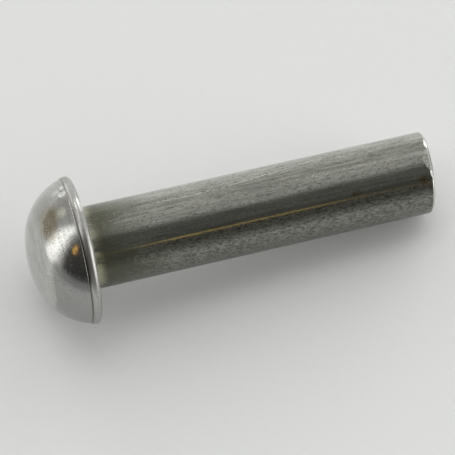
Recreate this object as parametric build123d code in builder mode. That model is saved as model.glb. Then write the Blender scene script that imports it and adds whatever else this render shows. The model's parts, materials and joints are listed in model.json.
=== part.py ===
from build123d import *

import os
from math import asin, atan2, cos, degrees, hypot, radians, sin, tan

# Solid rivet, cold headed from round wire in one piece, lying on its side as it comes to rest.
# Lengths are in millimetres and angles in degrees.

# Shank
shank_diameter = 6.0
shank_length = 25.77
seat_fillet = 0.35

# Rim of the head: a straight band between two rounded edges, under the dome
head_diameter = 10.8
rim_front_radius = 0.24
rim_band = 0.09
rim_seat_radius = 0.37

# Dome of the head: a flatter crown in the middle that rolls over into a tighter shoulder
dome_height = 3.45
dome_inset = 0.12
crown_radius = 8.0
crown_span = 4.0

# Fine groove that the heading dies leave between dome and rim
groove_radius = 0.07

# Cropped tail: a slanted cut, longest on the side found by turning from the upper side
cut_slant = 5.4
cut_turn = 110.0
tail_edge_radius = 0.20

# Flat that the cropping blade wiped off the tail's edge, turned the same way
wipe_depth = 0.22
wipe_length = 1.00
wipe_turn = -4.0

# Sizes that follow
shank_radius = shank_diameter / 2
head_radius = head_diameter / 2
foot_radius = head_radius - dome_inset
rim_height = rim_seat_radius + rim_band + rim_front_radius
crown_height = rim_height + dome_height
crown_sweep = degrees(asin(crown_span / (2 * crown_radius)))
cut_slope = tan(radians(cut_slant))
blank_length = shank_length + shank_diameter * cut_slope

# The rivet is shaped upright: seat of the head at height zero, dome above it, shank hanging
# down, and the side that ends up on top towards +X


def around_shank(turn):
    """Unit vector square to the shank, turned about it from the upper side towards +Y."""
    return Vector(cos(radians(turn)), sin(radians(turn)), 0)


# The cut crosses the axis at the shank's length and faces down, away from its longest side
cut_facing = Vector(0, 0, -1) - around_shank(cut_turn) * cut_slope
cut_plane = Plane(origin=(0, 0, -shank_length), z_dir=cut_facing)

# The wiped flat leaves the shank's surface and sinks towards the cut
wipe_side = around_shank(wipe_turn)
wipe_start = wipe_side * shank_radius + Vector(0, 0, wipe_length - shank_length)
wipe_facing = wipe_side * wipe_length + Vector(0, 0, -wipe_depth)
wipe_plane = Plane(origin=wipe_start, z_dir=wipe_facing)

with BuildPart() as upright:
    with BuildSketch(Plane.XZ) as half_section:
        # Rim, with both of its edges rounded
        Rectangle(head_radius, rim_height, align=(Align.MIN, Align.MIN))
        rim_corners = half_section.vertices().group_by(Axis.X)[-1]
        fillet(rim_corners.sort_by(Axis.Y)[-1], rim_front_radius)
        rim_corners = half_section.vertices().group_by(Axis.X)[-1]
        fillet(rim_corners.sort_by(Axis.Y)[0], rim_seat_radius)

        # Dome, rooted in the rim behind its rounded edges
        with BuildLine():
            crown = JernArc((0, crown_height), (1, 0), crown_radius, -crown_sweep)
            shoulder = TangentArc(crown @ 1, (foot_radius, rim_height), tangent=crown % 1)
            Polyline(shoulder @ 1, (foot_radius, rim_seat_radius), (0, rim_seat_radius), crown @ 0)
        make_face()

        # Shank, left long for the cut
        Rectangle(shank_radius, blank_length, align=(Align.MIN, Align.MAX))

        # Groove at the dome's foot
        with Locations((foot_radius, rim_height)):
            Circle(groove_radius, mode=Mode.SUBTRACT)
    revolve(axis=Axis.Z)

    # Fillet in the corner between shank and seat
    seat_circles = upright.edges().filter_by(GeomType.CIRCLE).group_by(Axis.Z)[1]
    fillet(seat_circles.sort_by(SortBy.RADIUS)[0], seat_fillet)

    # Tail: cropped, its edge rolled over, then wiped flat on one side
    split(bisect_by=cut_plane, keep=Keep.BOTTOM)
    tail_face = upright.faces().sort_by(Axis.Z)[0]
    fillet(tail_face.edges(), tail_edge_radius)
    split(bisect_by=wipe_plane, keep=Keep.BOTTOM)

# Lying down, the rivet touches the ground with the rounded seat edge of its rim and the rolled
# edge of its tail. The centres of those two roundings give the slope of the axis.
rim_support = head_radius - rim_seat_radius
tail_support = shank_radius - tail_edge_radius
tail_reach = (
    shank_length
    - tail_support * cut_slope * cos(radians(cut_turn))
    - tail_edge_radius * hypot(1, cut_slope)
)
support_run = tail_reach + rim_seat_radius
support_drop = rim_support - tail_support
support_span = hypot(support_run, support_drop)
tilt = atan2(support_drop, support_run) + asin((rim_seat_radius - tail_edge_radius) / support_span)
seat_height = rim_seat_radius * (1 - sin(tilt)) + rim_support * cos(tilt)

# The shank points to +X and a little down, and the origin is under the middle of the whole
lying = Plane(
    origin=(0, 0, seat_height),
    x_dir=(sin(tilt), 0, cos(tilt)),
    z_dir=(-cos(tilt), 0, sin(tilt)),
)
laid = upright.part.moved(lying.location)
middle = laid.bounding_box().center()

with BuildPart() as rivet:
    add(laid.moved(Location((-middle.X, 0, 0))))

rivet.part.label = "rivet"
os.makedirs("parts", exist_ok=True)
export_step(rivet.part, "parts/rivet.step")
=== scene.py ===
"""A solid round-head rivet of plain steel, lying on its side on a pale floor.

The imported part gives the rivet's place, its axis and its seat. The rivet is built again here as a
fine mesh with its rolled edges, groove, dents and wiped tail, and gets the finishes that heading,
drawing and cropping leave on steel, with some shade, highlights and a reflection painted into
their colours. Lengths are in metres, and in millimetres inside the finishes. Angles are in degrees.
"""

import json
import logging
import math
from dataclasses import dataclass
from enum import Enum
from typing import Any

import bpy
import numpy as np
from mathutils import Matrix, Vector

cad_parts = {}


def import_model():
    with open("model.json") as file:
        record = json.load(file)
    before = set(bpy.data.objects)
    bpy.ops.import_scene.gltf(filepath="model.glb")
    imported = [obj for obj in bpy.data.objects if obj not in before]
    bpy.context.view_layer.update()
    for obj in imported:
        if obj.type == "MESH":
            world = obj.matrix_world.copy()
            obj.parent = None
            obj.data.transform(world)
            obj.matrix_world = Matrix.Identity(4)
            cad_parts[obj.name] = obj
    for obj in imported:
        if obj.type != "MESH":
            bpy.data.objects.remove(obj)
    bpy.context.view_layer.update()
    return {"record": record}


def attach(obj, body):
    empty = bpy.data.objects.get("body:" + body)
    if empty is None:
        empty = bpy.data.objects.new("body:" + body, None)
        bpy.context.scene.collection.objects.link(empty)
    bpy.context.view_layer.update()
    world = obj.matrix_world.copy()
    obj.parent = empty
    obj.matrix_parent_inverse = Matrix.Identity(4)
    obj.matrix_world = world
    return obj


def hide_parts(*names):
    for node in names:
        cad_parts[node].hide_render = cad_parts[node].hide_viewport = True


MM = 0.001
LOG = logging.getLogger("rivet")

Colour = tuple[float, float, float]
Triple = tuple[float, float, float]
Values = dict[str | int, Any]


class Wire:
    """A socket inside a node tree that can be used in a Python expression."""

    def __init__(self, graph: "Graph", socket: bpy.types.NodeSocket) -> None:
        """Keep the tree and the socket."""
        self.graph = graph
        self.socket = socket

    def __add__(self, other: "Wire | float") -> "Wire":
        """This value plus another."""
        return self.graph.math("ADD", self, other)

    def __radd__(self, other: float) -> "Wire":
        """A number plus this value."""
        return self.graph.math("ADD", other, self)

    def __sub__(self, other: "Wire | float") -> "Wire":
        """This value less another."""
        return self.graph.math("SUBTRACT", self, other)

    def __rsub__(self, other: float) -> "Wire":
        """A number less this value."""
        return self.graph.math("SUBTRACT", other, self)

    def __mul__(self, other: "Wire | float") -> "Wire":
        """This value times another."""
        return self.graph.math("MULTIPLY", self, other)

    def __rmul__(self, other: float) -> "Wire":
        """A number times this value."""
        return self.graph.math("MULTIPLY", other, self)

    def __neg__(self) -> "Wire":
        """This value with its sign turned."""
        return self.graph.math("MULTIPLY", self, -1.0)

    def __abs__(self) -> "Wire":
        """This value without its sign."""
        return self.graph.math("ABSOLUTE", self)


class Graph:
    """A node tree that is written as expressions."""

    def __init__(self, tree: bpy.types.NodeTree) -> None:
        """Empty the tree and keep it."""
        tree.nodes.clear()
        self.tree = tree

    def node(self, kind: str, settings: Values, inputs: Values) -> bpy.types.Node:
        """Add one node.

        Args:
            kind: Blender's type of the node.
            settings: Properties of the node, set before any socket.
            inputs: Numbers, colours or wires for the sockets, by name or number.

        Returns:
            The node, set and linked.
        """
        made = self.tree.nodes.new(kind)
        for name, value in settings.items():
            setattr(made, name, value)
        for key, value in inputs.items():
            if isinstance(value, Wire):
                self.tree.links.new(value.socket, made.inputs[key])
            else:
                made.inputs[key].default_value = value
        return made

    def wire(self, kind: str, settings: Values, inputs: Values, output: str | int = 0) -> Wire:
        """Add one node and wrap one of its outputs; the other arguments are those of node."""
        return Wire(self, self.node(kind, settings, inputs).outputs[output])

    def math(self, operation: str, *values: "Wire | float") -> Wire:
        """Add a Math node on one or two values."""
        return self.wire("ShaderNodeMath", {"operation": operation}, dict(enumerate(values)))

    def vectors(self, operation: str, *values: "Wire | Triple", output: str = "Vector") -> Wire:
        """Add a Vector Math node on one or two vectors."""
        settings = {"operation": operation}
        return self.wire("ShaderNodeVectorMath", settings, dict(enumerate(values)), output)

    def dot(self, vector: Wire, direction: Triple) -> Wire:
        """Length of a vector along a fixed direction."""
        return self.vectors("DOT_PRODUCT", vector, direction, output="Value")

    def mix(self, share: Wire, first: "Wire | Colour", second: "Wire | Colour") -> Wire:
        """Blend two colours.

        Args:
            share: How much of the second colour shows, from 0 to 1.
            first: The colour at 0.
            second: The colour at 1.

        Returns:
            The blended colour.
        """
        first, second = (c if isinstance(c, Wire) else (*c, 1.0) for c in (first, second))
        inputs = {0: share, 6: first, 7: second}
        return self.wire("ShaderNodeMix", {"data_type": "RGBA"}, inputs, 2)

    def coats(self, colour: Wire, *coats: "tuple[Wire, Wire | Colour]") -> Wire:
        """Lay coats over a colour.

        Args:
            colour: The colour below them.
            coats: The share and colour of each coat, from the lowest to the highest.

        Returns:
            The colour with its coats.
        """
        for share, coat in coats:
            colour = self.mix(share, colour, coat)
        return colour

    def strongest(self, *masks: Wire) -> Wire:
        """Join masks.

        Args:
            masks: One mask or more.

        Returns:
            The highest of them at each place.
        """
        joined = masks[0]
        for mask in masks[1:]:
            joined = self.math("MAXIMUM", joined, mask)
        return joined


@dataclass(frozen=True)
class Step:
    """A soft step from 0, at low, to its share, at high."""

    low: float
    high: float
    share: float = 1.0

    def of(self, value: Wire) -> Wire:
        """Measure the step.

        Args:
            value: What is tested.

        Returns:
            The height of the step there.
        """
        inputs = {"Value": value, "From Min": self.low, "From Max": self.high}
        inputs["To Max"] = self.share
        settings = {"interpolation_type": "SMOOTHSTEP"}
        return value.graph.wire("ShaderNodeMapRange", settings, inputs)


@dataclass(frozen=True)
class Band:
    """A band with soft edges: its share within half of the middle, and 0 away from it."""

    middle: float
    half: float
    soft: float
    share: float = 1.0

    def of(self, value: Wire) -> Wire:
        """Height of the band at a value."""
        edge = Step(self.half - self.soft / 2, self.half + self.soft / 2, self.share)
        return self.share - edge.of(abs(value - self.middle))


@dataclass(frozen=True)
class Blend:
    """A number that follows a mask: its value where the mask is 0, and how much a 1 adds."""

    start: float
    change: float

    def by(self, mask: Wire) -> Wire:
        """The number where the mask has a value."""
        return self.start + self.change * mask


@dataclass(frozen=True)
class Grain:
    """Noise around 0.5: its lumps per millimetre, finer layers and their strength.

    Lengths along, sideways and up are multiplied by the squeeze first, so that a small number
    draws the lumps out that way.
    """

    scale: float
    detail: float = 2.0
    roughness: float = 0.5
    squeeze: Triple = (1.0, 1.0, 1.0)

    def at(self, place: Wire) -> Wire:
        """Look the noise up.

        Args:
            place: Where it is looked up.

        Returns:
            The noise.
        """
        squeezed = place.graph.vectors("MULTIPLY", place, self.squeeze)
        inputs = {"Vector": squeezed, "Scale": self.scale, "Detail": self.detail}
        inputs["Roughness"] = self.roughness
        return place.graph.wire("ShaderNodeTexNoise", {}, inputs)


@dataclass(frozen=True)
class Spot:
    """A soft round spot: its middle and half sizes as (along, side, upper), and its share."""

    centre: Triple
    radii: Triple
    share: float = 1.0
    edge: Step = Step(0.45, 1.0)

    def at(self, place: Wire) -> Wire:
        """Mask of the spot.

        Args:
            place: Where it is looked up.

        Returns:
            Its share in the middle, falling to 0 at its half sizes.
        """
        graph = place.graph
        apart = graph.vectors("DIVIDE", graph.vectors("SUBTRACT", place, self.centre), self.radii)
        return (1.0 - self.edge.of(graph.vectors("LENGTH", apart, output="Value"))) * self.share


@dataclass(frozen=True)
class Pose:
    """Where the rivet lies: the middle of its seat and its three directions."""

    seat: Vector
    along: Vector
    side: Vector
    upper: Vector
    shank_radius: float

    @classmethod
    def from_record(cls, record: dict[str, Any]) -> "Pose":
        """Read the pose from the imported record.

        Args:
            record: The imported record, with the mounts of shank and seat.

        Returns:
            The pose.
        """
        mounts = {mount["name"]: mount for mount in record["mounts"]}
        along = Vector(mounts["shank"]["axis"]).normalized()
        middle = Vector(mounts["shank"]["pos_m"])
        reach = (Vector(mounts["head_seat"]["pos_m"]) - middle).dot(along)
        upper = (Vector((0, 0, 1)) - along * along.z).normalized()
        return cls(
            seat=middle + along * reach,
            along=along,
            side=upper.cross(along),
            upper=upper,
            shank_radius=mounts["shank"]["dims"]["r_mm"] * MM,
        )


class Zone(Enum):
    """The stretches of the rivet's surface, each with its own finish."""

    HEAD = 0
    SHANK = 1
    TAIL = 2


@dataclass(frozen=True)
class Cut:
    """The cut of the tail: its slant, and the turn of its longest side from the upper side."""

    slant: float = 5.4
    turn: float = 110.0

    def slope(self) -> float:
        """Rise of the cut over its width."""
        return math.tan(math.radians(self.slant))

    def longest(self) -> tuple[float, float]:
        """Direction of the longest side, as (side, upper)."""
        return math.sin(math.radians(self.turn)), math.cos(math.radians(self.turn))


@dataclass(frozen=True)
class Dent:
    """A small dent: its distance from the seat, turn from the upper side, half sizes and depth."""

    reach: float
    turn: float
    length: float
    width: float
    depth: float


@dataclass(frozen=True)
class Flat:
    """A flat wiped on the tail's edge: its turn from the upper side, depth and length."""

    turn: float
    depth: float
    length: float


@dataclass(frozen=True)
class Fineness:
    """How many points a ring has, and how many rings each stretch of the rivet has."""

    around: int = 320
    crown: int = 20
    shoulder: int = 70
    groove: int = 8
    rim_front: int = 9
    rim_seat: int = 14
    seat: int = 8
    fillet: int = 10
    shank: int = 60
    shank_end: int = 40
    tail_edge: int = 12
    cut_face: int = 14


def arc(
    middle: tuple[float, float], radius: float, start: float, end: float, steps: int
) -> list[tuple[float, float]]:
    """Points on an arc.

    Args:
        middle: Centre of the arc.
        radius: Its radius.
        start: Angle of its first point, in radians.
        end: Angle where it ends, in radians.
        steps: How many points it has; the one at its end is left out.

    Returns:
        The points.
    """
    angles = np.linspace(start, end, steps, endpoint=False)
    return [(middle[0] + radius * math.cos(a), middle[1] + radius * math.sin(a)) for a in angles]


def added(name: str, data: bpy.types.ID) -> bpy.types.Object:
    """Add an object to the scene.

    Args:
        name: Name of the object.
        data: Its mesh, lamp or camera.

    Returns:
        The object.
    """
    made = bpy.data.objects.new(name, data)
    bpy.context.scene.collection.objects.link(made)
    return made


@dataclass
class Rivet:
    """The rivet: burnished head, drawn shank and cropped tail in one piece of steel."""

    pose: Pose
    head_radius: float = 5.4 * MM
    rim_front: float = 0.24 * MM
    rim_band: float = 0.09 * MM
    rim_seat: float = 0.37 * MM
    dome_height: float = 3.45 * MM
    dome_inset: float = 0.12 * MM
    crown_radius: float = 8.0 * MM
    crown_half_span: float = 2.0 * MM
    groove: float = 0.07 * MM
    groove_lip: float = 3.0
    seat_fillet: float = 0.35 * MM
    shank_length: float = 25.77 * MM
    tail_edge: float = 0.20 * MM
    cut: Cut = Cut()
    flats: tuple[Flat, ...] = (
        Flat(-4.0, 0.22 * MM, 0.70 * MM),
        Flat(-23.0, 0.12 * MM, 0.42 * MM),
        Flat(21.0, 0.08 * MM, 0.28 * MM),
    )
    flat_blend: float = 0.012 * MM
    burr_height: float = 0.030 * MM
    burr_width: float = 0.012 * MM
    burr_turns: tuple[float, float] = (-42.0, -6.0)
    dents: tuple[Dent, ...] = (
        # a run of small blows beside the rim
        Dent(-0.88 * MM, 43.2, 0.15 * MM, 0.22 * MM, 0.045 * MM),
        Dent(-0.92 * MM, 39.8, 0.16 * MM, 0.20 * MM, 0.060 * MM),
        Dent(-1.02 * MM, 36.4, 0.20 * MM, 0.22 * MM, 0.065 * MM),
        Dent(-1.12 * MM, 33.2, 0.20 * MM, 0.20 * MM, 0.055 * MM),
        Dent(-1.22 * MM, 30.6, 0.14 * MM, 0.16 * MM, 0.035 * MM),
        Dent(-1.24 * MM, 37.2, 0.14 * MM, 0.14 * MM, 0.030 * MM),
        # shallower ones nearer to the crown
        Dent(-1.46 * MM, 40.2, 0.22 * MM, 0.26 * MM, 0.035 * MM),
        Dent(-1.74 * MM, 40.8, 0.16 * MM, 0.20 * MM, 0.025 * MM),
    )
    fineness: Fineness = Fineness()
    plain_share: float = 0.945
    shank_finish_share: float = 0.5

    def head_profile(self) -> list[tuple[float, float, Zone]]:
        """Half section from the middle of the crown to the shank's fillet.

        Returns:
            Points as radius, distance along the axis from the seat, and zone.
        """
        fine = self.fineness
        foot = self.head_radius - self.dome_inset
        rim = self.rim_seat + self.rim_band + self.rim_front
        crown_centre = rim + self.dome_height - self.crown_radius
        sweep = math.asin(self.crown_half_span / self.crown_radius)
        joint = (self.crown_half_span, crown_centre + self.crown_radius * math.cos(sweep))
        reach, drop = foot - joint[0], joint[1] - rim
        lean = reach * math.sin(sweep) - drop * math.cos(sweep)
        shoulder = -(reach**2 + drop**2) / (2 * lean)
        centre = (joint[0] - shoulder * math.sin(sweep), joint[1] - shoulder * math.cos(sweep))
        foot_angle = math.asin((rim - centre[1]) / shoulder)
        joint_angle = math.pi / 2 - sweep
        groove_angle = self.groove / shoulder

        dome = arc((0, crown_centre), self.crown_radius, math.pi / 2, joint_angle, fine.crown)
        dome += arc(centre, shoulder, joint_angle, foot_angle + groove_angle, fine.shoulder)
        front = (self.head_radius - self.rim_front, rim - self.rim_front)
        front_start = math.acos((foot - front[0]) / self.rim_front)
        front_start -= groove_angle * self.groove_lip
        lip = (
            front[0] + self.rim_front * math.cos(front_start),
            front[1] + self.rim_front * math.sin(front_start),
        )
        trough_start = foot_angle + math.pi / 2
        trough_end = math.tau + math.atan2(lip[1] - rim, lip[0] - foot)
        trough = arc((foot, rim), self.groove, trough_start, trough_end, fine.groove)
        edge = arc(front, self.rim_front, front_start, 0, fine.rim_front)
        seat_centre = (self.head_radius - self.rim_seat, self.rim_seat)
        edge += arc(seat_centre, self.rim_seat, 0, -math.pi / 2, fine.rim_seat)
        flat_end = self.pose.shank_radius + self.seat_fillet
        radii = np.linspace(seat_centre[0], flat_end, fine.seat, endpoint=False)
        flat = [(radius, 0.0) for radius in radii]
        corner_centre = (flat_end, -self.seat_fillet)
        corner = arc(corner_centre, self.seat_fillet, math.pi / 2, math.pi, fine.fillet)
        head = [(radius, -height, Zone.HEAD) for radius, height in dome + trough + edge + flat]
        return head + [(radius, -height, Zone.SHANK) for radius, height in corner]

    def rings(self) -> tuple[np.ndarray, list[Zone]]:
        """Rings of points from crown to tail.

        Returns:
            Points as ring, segment and (along, side, upper), and the zone of each ring.
        """
        fine = self.fineness
        turns = np.linspace(0, math.tau, fine.around, endpoint=False)
        around = np.stack([np.zeros_like(turns), np.sin(turns), np.cos(turns)], axis=1)
        axis = np.array([1.0, 0.0, 0.0])
        profile = self.head_profile()
        rings = [radius * around + height * axis for radius, height, _ in profile]
        zones = [zone for _, _, zone in profile]

        slope = self.cut.slope()
        facing = axis - slope * np.array([0.0, *self.cut.longest()])
        facing /= np.linalg.norm(facing)

        def cut(radius: float) -> np.ndarray:
            """Distance of the cut from the seat, at a radius."""
            off_longest = np.cos(turns - math.radians(self.cut.turn))
            return self.shank_length + slope * radius * off_longest

        shank = self.pose.shank_radius
        core = shank - self.tail_edge
        edge_centre = cut(core) - self.tail_edge * math.hypot(1, slope)
        ball = core * around + np.outer(edge_centre, axis)
        plain = np.linspace(0, self.plain_share, fine.shank, endpoint=False)
        close = np.linspace(self.plain_share, 1, fine.shank_end, endpoint=False)
        for share in (*plain, *close):
            reach = self.seat_fillet + share * (ball[:, 0] - self.seat_fillet)
            rings.append(shank * around + np.outer(reach, axis))
            zones.append(Zone.SHANK)
        opening = np.arccos(around @ facing)[:, None]
        for share in np.linspace(0, 1, fine.tail_edge, endpoint=False):
            swept = np.sin((1 - share) * opening) * around + np.sin(share * opening) * facing
            rings.append(ball + self.tail_edge * swept / np.sin(opening))
            zones.append(Zone.SHANK if share < self.shank_finish_share else Zone.TAIL)
        for radius in np.linspace(core, 0, fine.cut_face, endpoint=False):
            rings.append(radius * around + np.outer(cut(radius), axis))
            zones.append(Zone.TAIL)
        return self.dented(self.wiped(np.array(rings))), zones

    def wiped(self, points: np.ndarray) -> np.ndarray:
        """Press the points beyond the tail's flats back, and raise a burr along their low side.

        Args:
            points: Points as (along, side, upper).

        Returns:
            The points with the flats.
        """
        turns = np.arctan2(points[..., 1], points[..., 2])
        outward = np.stack([np.zeros_like(turns), np.sin(turns), np.cos(turns)], axis=-1)
        nearest = np.full(turns.shape, -math.inf)
        pressed = points
        for flat in self.flats:
            turn = math.radians(flat.turn)
            side = np.array([0.0, math.sin(turn), math.cos(turn)])
            edge = side * self.pose.shank_radius
            edge[0] = self.shank_length - flat.length
            facing = side * flat.length + np.array([flat.depth, 0.0, 0.0])
            facing /= np.linalg.norm(facing)
            nearest = np.maximum(nearest, (points - edge) @ facing)
            over = (pressed - edge) @ facing / self.flat_blend
            pressed = pressed - (self.flat_blend * np.logaddexp(over, 0))[..., None] * facing
        first, last = np.radians(self.burr_turns)
        burr = np.exp(-(((nearest + self.burr_width) / self.burr_width) ** 2))
        burr = burr * (turns > first) * (turns < last)
        return pressed + self.burr_height * burr[..., None] * outward

    def dented(self, points: np.ndarray) -> np.ndarray:
        """Press the dents into the surface.

        Args:
            points: Points as (along, side, upper).

        Returns:
            The points with the dents.
        """
        for dent in self.dents:
            turn = math.radians(dent.turn)
            outward = np.array([0.0, math.sin(turn), math.cos(turn)])
            across = np.array([0.0, math.cos(turn), -math.sin(turn)])
            apart = ((points[..., 0] - dent.reach) / dent.length) ** 2
            apart = apart + (points @ across / dent.width) ** 2
            share = np.clip(1 - apart, 0, None) * (points @ outward > 0)
            points = points - dent.depth * share[..., None] * outward
        return points

    def mesh(self) -> bpy.types.Object:
        """Build the rivet's mesh, with its faces turned outward.

        Returns:
            The rivet, in place.
        """
        rings, zones = self.rings()
        count, segments = rings.shape[:2]
        axes = np.array([self.pose.along, self.pose.side, self.pose.upper])
        poles = np.stack([rings[0].mean(axis=0), [self.shank_length, 0.0, 0.0]])
        local = np.concatenate([rings[1:].reshape(-1, 3), poles])
        points = np.array(self.pose.seat) + local @ axes
        body = count - 1
        crown, tail = body * segments, body * segments + 1
        last = (body - 1) * segments

        faces, finishes = [], []
        for j in range(segments):
            k = (j + 1) % segments
            faces.append((crown, j, k))
            finishes.append(Zone.HEAD.value)
            faces.append((last + k, last + j, tail))
            finishes.append(Zone.TAIL.value)
            for i in range(body - 1):
                a, b = i * segments + j, i * segments + k
                faces.append((a, a + segments, b + segments, b))
                finishes.append(zones[i + 1].value)

        data = bpy.data.meshes.new("rivet_steel")
        data.from_pydata(points.tolist(), [], faces)
        data.polygons.foreach_set("material_index", finishes)
        data.polygons.foreach_set("use_smooth", [True] * len(faces))
        data.update()
        data.validate()
        return added("rivet_steel", data)

    def dress(self, made: bpy.types.Object) -> None:
        """Give the rivet its finishes, in the order of Zone."""
        for finish in (Burnished(), Drawn(), Cropped()):
            made.data.materials.append(finish.material(self.pose))

    def build(self) -> bpy.types.Object:
        """Build and dress the rivet.

        Returns:
            The finished piece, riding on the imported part.
        """
        made = self.mesh()
        self.dress(made)
        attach(made, "root")
        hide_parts("rivet")
        return made


@dataclass(frozen=True)
class Surface:
    """Places on the rivet's surface, in millimetres, for the finishes to look things up."""

    graph: Graph
    place: Wire
    along: Wire
    side: Wire
    upper: Wire

    @classmethod
    def on(cls, graph: Graph, pose: Pose) -> "Surface":
        """Measure the surface from the seat along the rivet's own directions.

        Args:
            graph: The material's node tree.
            pose: Where the rivet lies.

        Returns:
            The surface.
        """
        spot = graph.wire("ShaderNodeTexCoord", {}, {}, "Object")
        spot = graph.vectors("SUBTRACT", spot, tuple(pose.seat))
        directions = (pose.along, pose.side, pose.upper)
        lengths = [graph.dot(spot, tuple(direction / MM)) for direction in directions]
        place = graph.wire("ShaderNodeCombineXYZ", {}, dict(enumerate(lengths)))
        return cls(graph, place, *lengths)

    def turn(self) -> Wire:
        """Turn about the axis from the upper side, in degrees."""
        return self.graph.math("ARCTAN2", self.side, self.upper) * math.degrees(1)

    def spots(self, spots: tuple[Spot, ...]) -> Wire:
        """Mask of several spots, the strongest of them where they overlap."""
        return self.graph.strongest(*(spot.at(self.place) for spot in spots))


@dataclass(frozen=True)
class Look:
    """How steel looks: colour, roughness, relief in millimetres and share of bare metal."""

    colour: Wire
    roughness: Wire
    bump: Wire
    metallic: "Wire | float" = 1.0


@dataclass(frozen=True)
class Steel:
    """What all finishes of the rivet share."""

    name: str = "steel"
    even: float = 0.5

    def look(self, surface: Surface) -> Look:
        """Work out the look on a surface, in each finish's own way."""
        raise NotImplementedError

    def material(self, pose: Pose) -> bpy.types.Material:
        """Make the finish.

        Args:
            pose: Where the rivet lies.

        Returns:
            The material.
        """
        made = bpy.data.materials.new(self.name)
        made.use_nodes = True
        graph = Graph(made.node_tree)
        look = self.look(Surface.on(graph, pose))
        height = {"Height": look.bump, "Distance": MM, "Strength": 1.0}
        inputs = {
            "Base Color": look.colour,
            "Metallic": look.metallic,
            "Roughness": look.roughness,
            "Normal": graph.wire("ShaderNodeBump", {}, height),
        }
        metal = graph.wire("ShaderNodeBsdfPrincipled", {}, inputs)
        graph.node("ShaderNodeOutputMaterial", {}, {"Surface": metal})
        return made


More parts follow.
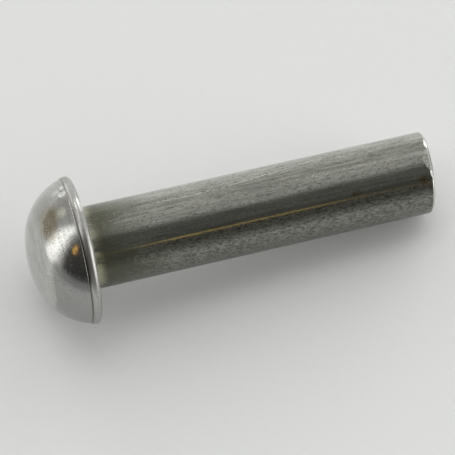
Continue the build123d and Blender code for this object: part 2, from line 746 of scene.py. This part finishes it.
@dataclass(frozen=True)
class Burnished(Steel):
    """Bright steel pressed smooth by the heading dies, rougher on rim and lower shoulder.

    Its colour holds painted shade on the lower shoulder, under the rim, in the groove and beside
    the dents, and painted highlights on the groove's lip, the dents and a spot of the rim.
    """

    name: str = "burnished_steel"
    colour: Colour = (0.57, 0.568, 0.552)
    film: Colour = (0.50, 0.49, 0.45)
    shifted_tone: Colour = (0.33, 0.33, 0.32)
    stain_and_reflection: Colour = (0.34, 0.305, 0.225)
    fresh_and_highlight: Colour = (0.90, 0.90, 0.88)
    brown: Colour = (0.22, 0.18, 0.12)
    dirt_and_shade: Colour = (0.16, 0.15, 0.13)
    lip_shade: Colour = (0.06, 0.058, 0.05)

    # mottling, pits and the fine circles of the dies
    clouds: Grain = Grain(0.5, 3.0)
    fine: Grain = Grain(7.0, 2.0, 0.6)
    coarse: Grain = Grain(2.2, 3.0, 0.6)
    pitting: Grain = Grain(6.0, 2.0, 0.6)
    circles: Grain = Grain(5.0, 3.0, 0.6, (1.0, 0.08, 0.08))
    filmed: Step = Step(0.45, 0.75)
    pitted: Step = Step(0.60, 0.70)
    pit_dirt: float = 0.45
    coarse_wear: Step = Step(0.45, 0.70, 0.16)
    circle_wear: Step = Step(0.42, 0.66, 0.30)
    fine_wear: Step = Step(0.40, 0.70, 0.16)

    # rim, shoulder and groove, by distance from the seat and by turn from the upper side
    rim_from: Step = Step(-0.76, -0.68)
    rim_underside: Step = Step(40.0, 80.0, 0.65)
    shoulder_from: Step = Step(-3.10, -2.96)
    shoulder_underside: Step = Step(22.0, 44.0)
    shoulder_fine: float = 0.55
    shoulder_coarse: float = 0.35
    groove: Band = Band(-0.70, 0.045, 0.06, 0.7)
    groove_unshaded: Step = Step(4.0, 18.0, 0.8)
    lip: Band = Band(-0.62, 0.05, 0.06)
    lip_turn: Band = Band(31.0, 14.0, 10.0)
    shaded_lip: Band = Band(-0.655, 0.085, 0.06, 0.92)
    shaded_lip_turn: Band = Band(-29.0, 20.0, 14.0)

    # stains, the bruised dents, and rim and dull spots, with painted reflection, glints and shadows
    stain_and_reflection_spots: tuple[Spot, ...] = (
        Spot((-2.53, 1.10, 4.11), (0.95, 2.00, 2.20)),
        Spot((-2.60, 2.60, 3.30), (0.70, 1.10, 1.10), 0.4),
    )
    stain_and_reflection_share: Blend = Blend(0.15, 1.0)
    brown_spot: Spot = Spot((-2.70, 1.30, 3.90), (0.26, 0.34, 0.34), 0.45)
    bruises: tuple[Spot, ...] = (
        Spot((-1.10, 2.83, 4.30), (0.40, 0.40, 0.40)),
        Spot((-0.92, 3.52, 3.86), (0.25, 0.25, 0.25)),
        Spot((-1.46, 3.21, 3.82), (0.40, 0.40, 0.40), 0.5),
    )
    bruise_breaks: Step = Step(0.34, 0.50)
    shadows: tuple[Spot, ...] = (
        Spot((-1.28, 2.50, 4.42), (0.28, 0.28, 0.28)),
        Spot((-1.00, 3.22, 4.08), (0.22, 0.22, 0.22)),
    )
    shadow_breaks: Step = Step(0.36, 0.56, 0.5)
    rim_highlight_spot: Spot = Spot((-0.24, 1.51, 5.16), (0.34, 0.85, 0.60))
    dull_spot: Spot = Spot((-2.59, 2.72, 3.21), (1.10, 1.50, 1.50), 0.35)

    # roughness, and relief in millimetres
    smooth: float = 0.11
    cloud_rough: float = 0.05
    pit_rough: float = 0.08
    rim_rough: float = 0.20
    lower_rough: float = 0.05
    rim_highlight_smooth: float = 0.6
    fine_relief: float = 0.0034
    rim_relief: float = -0.0020
    bruise_relief: float = 0.016
    pit_depth: float = 0.0040
    circle_relief: float = 0.002

    def look(self, surface: Surface) -> Look:
        """Work out the look.

        Args:
            surface: The material's surface.

        Returns:
            The look.
        """
        graph, place, along, turn = surface.graph, surface.place, surface.along, surface.turn()
        cloud, fine, circles = self.clouds.at(place), self.fine.at(place), self.circles.at(place)
        coarse, pits = self.coarse.at(place), self.pitted.of(self.pitting.at(place))
        rim = self.rim_from.of(along)
        ragged = self.shoulder_fine * (fine - self.even)
        ragged = along + ragged + self.shoulder_coarse * (coarse - self.even)
        shoulder = self.shoulder_from.of(ragged) * (1.0 - rim)
        lower = shoulder * self.shoulder_underside.of(-turn)
        groove = self.groove.of(along) * (1.0 - self.groove_unshaded.of(turn))
        bruise = surface.spots(self.bruises)
        brightened = self.rim_highlight_spot.at(place)

        colour = graph.coats(
            graph.mix(self.filmed.of(cloud), self.colour, self.film),
            # painted shade on the lower side of the shoulder
            (lower, self.shifted_tone),
            (self.coarse_wear.of(coarse), self.shifted_tone),
            (self.circle_wear.of(circles), self.shifted_tone),
            (self.fine_wear.of(fine), self.shifted_tone),
            # painted shade on the rim's underside
            (rim * self.rim_underside.of(-turn), self.shifted_tone),
            # a warm stain, partly a painted reflection
            (surface.spots(self.stain_and_reflection_spots) * self.stain_and_reflection_share.by(coarse), self.stain_and_reflection),
            (self.brown_spot.at(place), self.brown),
            (pits * self.pit_dirt, self.dirt_and_shade),
            # painted shade in the lower part of the groove
            (groove, self.dirt_and_shade),
            # painted highlight along part of the groove's lip
            (self.lip.of(along) * self.lip_turn.of(turn), self.fresh_and_highlight),
            # painted shade on the rim's front edge, low down
            (self.shaded_lip.of(along) * self.shaded_lip_turn.of(turn), self.lip_shade),
            # painted shadows beside the dents
            (surface.spots(self.shadows) * self.shadow_breaks.of(fine), self.dirt_and_shade),
            # painted highlights on the dents, partly bright fresh metal
            (bruise * self.bruise_breaks.of(fine), self.fresh_and_highlight),
            # a painted highlight on a spot of the rim
            (brightened, self.fresh_and_highlight),
            (self.dull_spot.at(place), self.shifted_tone),
        )
        roughness = self.smooth + self.cloud_rough * cloud + self.pit_rough * pits
        roughness = roughness + self.rim_rough * rim * (1.0 - self.rim_highlight_smooth * brightened)
        roughness = roughness + self.lower_rough * lower
        bump = self.fine_relief + self.rim_relief * rim + self.bruise_relief * bruise
        bump = fine * bump - pits * self.pit_depth + circles * self.circle_relief
        return Look(colour, roughness, bump)


@dataclass(frozen=True)
class WireMarks:
    """What the finish of drawn wire looks up more than once."""

    surface: Surface
    turn: Wire
    grit: Wire
    specks: Wire
    cloud: Wire
    lines: Wire
    lower: Wire
    streak: Wire
    plain: Wire
    pits: Wire
    bright: Wire
    scratch: Wire
    edge: Wire


@dataclass(frozen=True)
class Drawn(Steel):
    """Dull drawn wire, pitted, scratched along its length and stained near the head."""

    name: str = "drawn_steel"
    colour: Colour = (0.545, 0.553, 0.500)
    light: Colour = (0.74, 0.745, 0.69)
    dark: Colour = (0.15, 0.153, 0.132)
    lower_shade: Colour = (0.300, 0.305, 0.270)
    olive: Colour = (0.130, 0.133, 0.095)
    sludge_and_shade: Colour = (0.065, 0.067, 0.043)
    brown: Colour = (0.24, 0.17, 0.085)
    crust: Colour = (0.46, 0.45, 0.30)
    shifted_tone: Colour = (0.84, 0.84, 0.81)

    # what drawing leaves, all of it drawn out along the wire
    gritty: Grain = Grain(7.5, 2.0, 0.65, (0.45, 1.0, 1.0))
    speckled: Grain = Grain(9.0, 1.0, 0.5, (0.60, 1.0, 1.0))
    lined: Grain = Grain(6.0, 3.0, 0.65, (0.03, 1.0, 1.0))
    clouds: Grain = Grain(0.9, 3.0, 0.6, (0.40, 1.0, 1.0))
    pricked: Grain = Grain(6.8, 2.0, 0.6, (0.50, 1.0, 1.0))
    hairy: Grain = Grain(9.0, 2.0, 0.6, (0.06, 1.0, 1.0))
    pitted: Step = Step(0.50, 0.64)
    bright_specks: Step = Step(0.57, 0.68)

    # smooth streak and painted shade low on the shank, by turn from the upper side
    streak: Band = Band(-30.6, 3.4, 3.6)
    streak_bare: float = 0.85
    streak_smooth: float = 0.40
    lower_from: Step = Step(20.0, 38.0)
    under_from: Step = Step(40.0, 64.0, 0.85)
    lower_shade_share: float = 0.95

    # shades of all that
    cloud_shade: Step = Step(0.40, 0.66, 0.22)
    line_shade: Step = Step(0.42, 0.62, 0.36)
    pit_shade: Blend = Blend(0.64, 0.14)
    speck_light: Blend = Blend(0.34, -0.22)
    hole_shade: Step = Step(0.53, 0.60, 0.50)
    fleck_light: Step = Step(-0.52, -0.42, 0.09)
    hair_light: Step = Step(0.54, 0.64, 0.5)
    hair_from: Step = Step(-14.0, 12.0)

    # light stripe, a bent scratch and a slanted row of bright pricks
    stripe: Band = Band(9.5, 2.2, 3.0, 0.85)
    stripe_from: Step = Step(13.0, 18.0)
    scratch_turn: float = 25.0
    scratch_bend: float = 2.4
    scratch_bend_from: float = 10.2
    scratch_across: Band = Band(0.0, 1.1, 1.2)
    scratch_along: Band = Band(9.3, 5.4, 2.5)
    scratch_breaks: Step = Step(0.38, 0.50)
    row_slant: float = 0.5
    row: Band = Band(-1.6, 2.2, 3.0, 0.8)
    row_along: Band = Band(12.1, 1.5, 1.5)
    mark_light: Blend = Blend(0.35, 1.0)

    # oil film and crust by the head, and brown spots
    oil_cloud: float = 4.5
    oil_grit: float = 3.0
    oil_to: Step = Step(0.8, 5.2)
    oil_from: Step = Step(0.25, 0.75)
    oil_start: Blend = Blend(0.35, 0.65)
    oil_share: float = 0.92
    oil_dull: Blend = Blend(0.18, 0.34)
    crust_to: Step = Step(0.10, 1.10)
    crust_patches: Step = Step(0.35, 0.60)
    crust_share: Blend = Blend(0.40, 0.8)
    crust_dull: float = 0.70
    rust: tuple[Spot, ...] = (
        Spot((24.80, -1.57, 2.55), (0.55, 0.60, 0.60)),
        Spot((19.70, -1.36, 2.66), (0.50, 0.35, 0.35)),
    )
    rust_breaks: Step = Step(0.40, 0.60)

    # rolled edge of the tail, rubbed bright, by distance from the seat at the axis
    cut: Cut = Cut()
    rubbed_from: Step = Step(25.56, 25.64)
    rubbed_ragged: float = 0.06
    rubbed_share: Blend = Blend(0.65, 0.35)

    # roughness, and relief in millimetres
    smooth: float = 0.15
    cloud_rough: float = 0.05
    pit_rough: float = 0.12
    lower_rough: float = 0.05
    line_relief: float = 0.0004
    pit_depth: float = 0.0014
    speck_relief: float = 0.0005
    scratch_depth: float = 0.012

    def look_up(self, surface: Surface) -> WireMarks:
        """Look up what the finish needs more than once.

        Args:
            surface: The material's surface.

        Returns:
            The marks of the drawn wire.
        """
        along, place, turn = surface.along, surface.place, surface.turn()
        grit, specks, streak = self.gritty.at(place), self.speckled.at(place), self.streak.of(turn)
        plain = 1.0 - self.streak_bare * streak
        bent = surface.graph.math("MAXIMUM", along - self.scratch_bend_from, 0.0)
        scratch = self.scratch_across.of(turn - (self.scratch_turn + self.scratch_bend * bent))
        slope, (side, upper) = self.cut.slope(), self.cut.longest()
        end = along - slope * upper * surface.upper - slope * side * surface.side
        return WireMarks(
            surface=surface,
            turn=turn,
            grit=grit,
            specks=specks,
            cloud=self.clouds.at(place),
            lines=self.lined.at(place),
            lower=self.lower_from.of(-turn),
            streak=streak,
            plain=plain,
            pits=self.pitted.of(grit) * plain,
            bright=self.bright_specks.of(specks) * plain,
            scratch=scratch * self.scratch_along.of(along),
            edge=self.rubbed_from.of(end + self.rubbed_ragged * (grit - self.even)),
        )

    def bare(self, marks: WireMarks) -> Wire:
        """Colour of the bare wire, with painted shade on its lower side.

        Args:
            marks: The marks of the drawn wire.

        Returns:
            The colour.
        """
        graph, place, lower = marks.surface.graph, marks.surface.place, marks.lower
        pricks, hairs = self.pricked.at(place), self.hairy.at(place)
        return graph.coats(
            graph.mix(self.cloud_shade.of(marks.cloud), self.colour, self.dark),
            # painted shade: darker on the lower side, darker still on the underside
            (lower * self.lower_shade_share, self.lower_shade),
            (self.under_from.of(-marks.turn), self.dark),
            (self.line_shade.of(marks.lines), self.dark),
            (marks.pits * self.pit_shade.by(lower), self.dark),
            (marks.bright * self.speck_light.by(lower), self.light),
            (self.fleck_light.of(-pricks) * lower * marks.plain, self.light),
            (self.hole_shade.of(pricks) * lower * marks.plain, self.sludge_and_shade),
            (self.hair_light.of(hairs) * self.hair_from.of(marks.turn), self.light),
        )

    def marked(self, marks: WireMarks, colour: Wire) -> Wire:
        """Add the stripe, the scratch and the row of pricks.

        Args:
            marks: The marks of the drawn wire.
            colour: The colour below them.

        Returns:
            The colour with them.
        """
        along, graph = marks.surface.along, marks.surface.graph
        stripe = self.stripe.of(marks.turn) * self.stripe_from.of(along)
        row = self.row.of(marks.turn + self.row_slant * along) * self.row_along.of(along)
        return graph.coats(
            colour,
            (graph.strongest(stripe, row) * self.mark_light.by(marks.bright), self.light),
            (marks.scratch * self.scratch_breaks.of(marks.specks), self.light),
            (marks.scratch * marks.pits, self.dark),
        )

    def stained(self, marks: WireMarks, colour: Wire) -> tuple[Wire, Wire]:
        """Add the oil film, the crust and the brown spots.

        Args:
            marks: The marks of the drawn wire.
            colour: The colour below them.

        Returns:
            The colour with them, and the share of bare metal.
        """
        surface, graph, along = marks.surface, marks.surface.graph, marks.surface.along
        reach = along + self.oil_cloud * (marks.cloud - self.even)
        reach = reach + self.oil_grit * (marks.grit - self.even) - marks.lower
        oil = (1.0 - self.oil_to.of(reach)) * self.oil_start.by(self.oil_from.of(along))
        crust = (1.0 - self.crust_to.of(along)) * self.crust_patches.of(marks.cloud)
        metallic = 1.0 - oil * self.oil_dull.by(marks.lower) - crust * self.crust_dull
        colour = graph.coats(
            colour,
            # the oil stain turns darker on the lower side, as painted shade there
            (oil * self.oil_share, graph.mix(marks.lower, self.olive, self.sludge_and_shade)),
            (crust * self.crust_share.by(marks.grit), self.crust),
            (surface.spots(self.rust) * self.rust_breaks.of(marks.grit), self.brown),
        )
        return colour, metallic

    def look(self, surface: Surface) -> Look:
        """Work out the look.

        Args:
            surface: The material's surface.

        Returns:
            The look.
        """
        marks = self.look_up(surface)
        colour, metallic = self.stained(marks, self.marked(marks, self.bare(marks)))
        brightened = marks.edge * self.rubbed_share.by(marks.bright)
        roughness = self.smooth + self.cloud_rough * marks.cloud
        roughness = roughness + self.pit_rough * marks.pits + self.lower_rough * marks.lower
        bump = marks.lines * self.line_relief - marks.pits * self.pit_depth
        bump = bump + marks.bright * self.speck_relief - marks.scratch * self.scratch_depth
        return Look(
            colour=surface.graph.mix(brightened, colour, self.shifted_tone),
            roughness=roughness * (1.0 - self.streak_smooth * marks.streak),
            bump=bump * marks.plain,
            metallic=metallic,
        )


@dataclass(frozen=True)
class Cropped(Steel):
    """Grey sheared steel of the cut tail, with the blade's marks across it."""

    name: str = "cropped_steel"
    colour: Colour = (0.44, 0.44, 0.42)
    dark: Colour = (0.26, 0.25, 0.23)
    dragged: Grain = Grain(3.0, 3.0, 0.6, (1.0, 3.0, 0.3))
    mottled: Grain = Grain(1.5, 4.0, 0.6)
    drag_shade: Step = Step(0.40, 0.62, 0.5)
    mottle_shade: Step = Step(0.35, 0.75, 0.5)
    roughness: Blend = Blend(0.30, 0.16)
    drag_relief: float = 0.012

    def look(self, surface: Surface) -> Look:
        """Work out the look.

        Args:
            surface: The material's surface.

        Returns:
            The look.
        """
        drag, mottle = self.dragged.at(surface.place), self.mottled.at(surface.place)
        shade = self.mottle_shade.of(mottle) + self.drag_shade.of(drag)
        colour = surface.graph.mix(shade, self.colour, self.dark)
        return Look(colour, self.roughness.by(mottle), drag * self.drag_relief)


def toward(azimuth: float, polar: float) -> Vector:
    """Direction from the rivet to a place on the dome of light.

    Args:
        azimuth: Angle from +X towards +Y.
        polar: Angle from straight up.

    Returns:
        The direction, of length 1.
    """
    azimuth, polar = math.radians(azimuth), math.radians(polar)
    level = math.sin(polar)
    return Vector((level * math.cos(azimuth), level * math.sin(azimuth), math.cos(polar)))


@dataclass(frozen=True)
class Card:
    """A soft-edged card, bright or dark, in the dome of light around the rivet.

    Azimuth is counted from +X towards +Y and polar from straight up. The card's length points to
    the zenith before it is rolled.
    """

    azimuth: float
    polar: float
    roll: float
    half_length: float
    half_width: float
    soft: float
    colour: Colour

    def directions(self) -> tuple[Vector, Vector, Vector]:
        """Find how the card faces.

        Returns:
            Directions of the card's middle, length and width.
        """
        middle = toward(self.azimuth, self.polar)
        rise = (Vector((0, 0, 1)) - middle * middle.z).normalized()
        roll = math.radians(self.roll)
        length = rise * math.cos(roll) + middle.cross(rise) * math.sin(roll)
        return middle, length, middle.cross(length)

    def over(self, ray: Wire, behind: Wire) -> Wire:
        """Lay the card over what is behind it.

        Args:
            ray: Direction that is looked up.
            behind: Colour behind the card.

        Returns:
            The colour with the card.
        """
        graph = ray.graph
        middle, length, width = (tuple(direction) for direction in self.directions())
        rise = graph.math("ARCTAN2", graph.dot(ray, length), graph.dot(ray, middle))
        turn = graph.math("ARCSINE", graph.dot(ray, width))
        mask = Band(0.0, self.half_length, self.soft).of(rise * math.degrees(1))
        mask = mask * Band(0.0, self.half_width, self.soft).of(turn * math.degrees(1))
        return graph.mix(mask, behind, self.colour)


@dataclass(frozen=True)
class SoftLamp:
    """A broad far lamp that lights the floor and doesn't show in the metal."""

    azimuth: float
    polar: float
    spread: float
    strength: float

    def build(self) -> bpy.types.Object:
        """Make the lamp.

        Returns:
            The lamp.
        """
        data = bpy.data.lights.new("soft_lamp", "SUN")
        data.energy = self.strength
        data.angle = math.radians(self.spread)
        made = added("soft_lamp", data)
        made.rotation_mode = "QUATERNION"
        made.rotation_quaternion = toward(self.azimuth, self.polar).to_track_quat("Z", "Y")
        made.visible_glossy = False
        return made


@dataclass(frozen=True)
class Studio:
    """Pale floor and soft light around the rivet."""

    backdrop: Colour = (0.72, 0.72, 0.715)
    sky: Colour = (0.438, 0.435, 0.425)
    skyline: Colour = (0.617, 0.617, 0.60)
    dull_skyline: Colour = (0.327, 0.327, 0.318)
    sky_from: Step = Step(0.0, 0.36)
    skyline_side: Step = Step(-0.6, 0.2)
    pale_end: Colour = (0.62, 0.62, 0.61)
    pale_toward: Triple = (1.0, 0.0, 0.0)
    pale_from: Step = Step(0.42, 0.58)
    bright_end: Colour = (2.4, 2.4, 2.35)
    bright_toward: Triple = (0.94, -0.342, 0.0)
    bright_from: Step = Step(0.80, 0.95)
    shades: tuple[Card, ...] = (
        # dark cards
        Card(-67.0, 39.5, -106.5, 48.4, 38.1, 15.9, (0.090, 0.090, 0.085)),
        Card(-140.9, 53.6, 8.9, 26.8, 21.5, 11.0, (0.06, 0.06, 0.056)),
    )
    lights: tuple[Card, ...] = (
        # beige card
        Card(141.0, 80.0, 0.0, 14.0, 16.0, 10.0, (0.42, 0.40, 0.34)),
        # long bright card and the one below it
        Card(167.0, 61.8, 16.0, 35.5, 5.8, 11.4, (1.75, 1.75, 1.70)),
        Card(172.6, 66.6, 17.4, 24.0, 10.6, 18.3, (1.80, 1.80, 1.75)),
        # small warm card, and the one that draws the warm line along the shank
        Card(-158.6, 37.8, 20.0, 6.0, 3.0, 3.0, (1.15, 0.66, 0.17)),
        Card(-71.6, 48.5, 61.4, 2.3, 1.3, 1.8, (1.30, 0.93, 0.33)),
        # small bright cards
        Card(126.9, 63.4, 0.0, 7.5, 5.6, 6.6, (0.80, 0.80, 0.69)),
        Card(107.6, 86.5, 0.0, 4.0, 2.5, 3.9, (1.34, 1.32, 1.28)),
        # low cards that only the rim turns to
        Card(91.5, 86.0, 0.0, 5.0, 5.0, 3.0, (1.6, 1.6, 1.58)),
        Card(52.0, 78.0, 0.0, 8.0, 8.0, 4.0, (2.4, 2.4, 2.35)),
        # pale strip low in front, under the dark cards
        Card(-130.0, 88.0, 0.0, 11.5, 42.0, 3.5, (0.42, 0.42, 0.41)),
        # narrow card that only dents and edges turn to
        Card(92.0, 44.0, 0.0, 26.0, 3.5, 3.0, (3.0, 3.0, 2.95)),
    )
    lamps: tuple[SoftLamp, ...] = (
        SoftLamp(97.0, 18.0, 24.0, 0.243),
        SoftLamp(97.0, 66.0, 24.0, 0.233),
        SoftLamp(-25.0, 66.0, 40.0, 0.685),
        SoftLamp(12.0, 66.0, 40.0, 0.304),
        SoftLamp(50.0, 66.0, 40.0, 0.420),
    )
    fill_gain: float = 2.32
    floor_half: float = 0.6
    paper_dark: Colour = (0.775, 0.785, 0.785)
    paper_light: Colour = (0.795, 0.805, 0.805)
    paper_fibres: Grain = Grain(1800.0, 3.0)
    paper_roughness: float = 0.9

    def world(self) -> None:
        """Make the dome of light around the rivet, with a plain pale backdrop behind it."""
        world = bpy.data.worlds.new("studio_dome")
        world.use_nodes = True
        graph = Graph(world.node_tree)
        ray = graph.wire("ShaderNodeTexCoord", {}, {}, "Generated")
        height = graph.dot(ray, (0.0, 0.0, 1.0))
        side = graph.dot(ray, (0.0, 1.0, 0.0))
        skyline = graph.mix(self.skyline_side.of(side), self.dull_skyline, self.skyline)
        dome = graph.mix(self.sky_from.of(height), skyline, self.sky)
        for card in self.shades:
            dome = card.over(ray, dome)

        # the metal shows the dome with its two bright ends and the light cards
        shown = graph.coats(
            dome,
            (self.pale_from.of(graph.dot(ray, self.pale_toward)), self.pale_end),
            (self.bright_from.of(graph.dot(ray, self.bright_toward)), self.bright_end),
        )
        for card in self.lights:
            shown = card.over(ray, shown)

        # the floor gets the even light of the dome alone
        fill = graph.vectors("MULTIPLY", dome, (self.fill_gain,) * 3)
        spread = graph.wire("ShaderNodeLightPath", {}, {}, "Is Diffuse Ray")
        seen = graph.wire("ShaderNodeLightPath", {}, {}, "Is Camera Ray")
        colour = graph.coats(shown, (spread, fill), (seen, self.backdrop))
        glow = graph.wire("ShaderNodeBackground", {}, {"Color": colour, "Strength": 1.0})
        graph.node("ShaderNodeOutputWorld", {}, {"Surface": glow})
        bpy.context.scene.world = world

    def paper(self) -> bpy.types.Material:
        """Make the floor's pale paper.

        Returns:
            The material.
        """
        made = bpy.data.materials.new("pale_paper")
        made.use_nodes = True
        graph = Graph(made.node_tree)
        fibre = self.paper_fibres.at(graph.wire("ShaderNodeTexCoord", {}, {}, "Object"))
        inputs = {
            "Base Color": graph.mix(fibre, self.paper_dark, self.paper_light),
            "Roughness": self.paper_roughness,
            "Specular IOR Level": 0.0,
        }
        paper = graph.wire("ShaderNodeBsdfPrincipled", {}, inputs)
        graph.node("ShaderNodeOutputMaterial", {}, {"Surface": paper})
        return made

    def floor(self) -> bpy.types.Object:
        """Make the pale floor.

        Returns:
            The floor.
        """
        half = self.floor_half
        corners = [(-half, -half, 0), (half, -half, 0), (half, half, 0), (-half, half, 0)]
        data = bpy.data.meshes.new("pale_floor")
        data.from_pydata(corners, [], [(0, 1, 2, 3)])
        data.materials.append(self.paper())
        made = added("pale_floor", data)
        return made

    def build(self) -> None:
        """Set up light, floor and tone."""
        self.world()
        self.floor()
        for lamp in self.lamps:
            lamp.build()
        bpy.context.scene.view_settings.view_transform = "Standard"


@dataclass(frozen=True)
class Viewpoint:
    """The camera, level and looking down on the rivet."""

    place: Triple = (-16.262 * MM, -57.782 * MM, 167.088 * MM)
    azimuth: float = -15.44
    elevation: float = 70.03
    focal_pixels: float = 2400.0
    frame_pixels: float = 455.0
    sensor: float = 36.0
    nearest: float = 10 * MM
    farthest: float = 2.0

    def build(self) -> bpy.types.Object:
        """Make the camera and use it.

        Returns:
            The camera.
        """
        data = bpy.data.cameras.new("camera")
        data.sensor_width = self.sensor
        data.lens = self.sensor * self.focal_pixels / self.frame_pixels
        data.clip_start = self.nearest
        data.clip_end = self.farthest
        made = added("camera", data)
        azimuth, elevation = math.radians(self.azimuth), math.radians(self.elevation)
        level = math.cos(elevation)
        back = Vector(
            (math.sin(azimuth) * level, -math.cos(azimuth) * level, math.sin(elevation))
        )
        made.location = self.place
        made.rotation_mode = "QUATERNION"
        made.rotation_quaternion = (-back).to_track_quat("-Z", "Y")
        bpy.context.scene.camera = made
        return made


def main() -> None:
    """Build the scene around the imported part."""
    logging.basicConfig(level=logging.INFO, format="%(name)s: %(message)s")
    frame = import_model()
    camera = Viewpoint().build()
    LOG.info("%s: lens %.1f mm", camera.name, camera.data.lens)
    Studio().build()
    LOG.info("studio: built")
    rivet = Rivet(Pose.from_record(frame["record"])).build()
    LOG.info("%s: %d faces", rivet.name, len(rivet.data.polygons))
    bpy.context.view_layer.update()


if __name__ == "__main__":
    main()
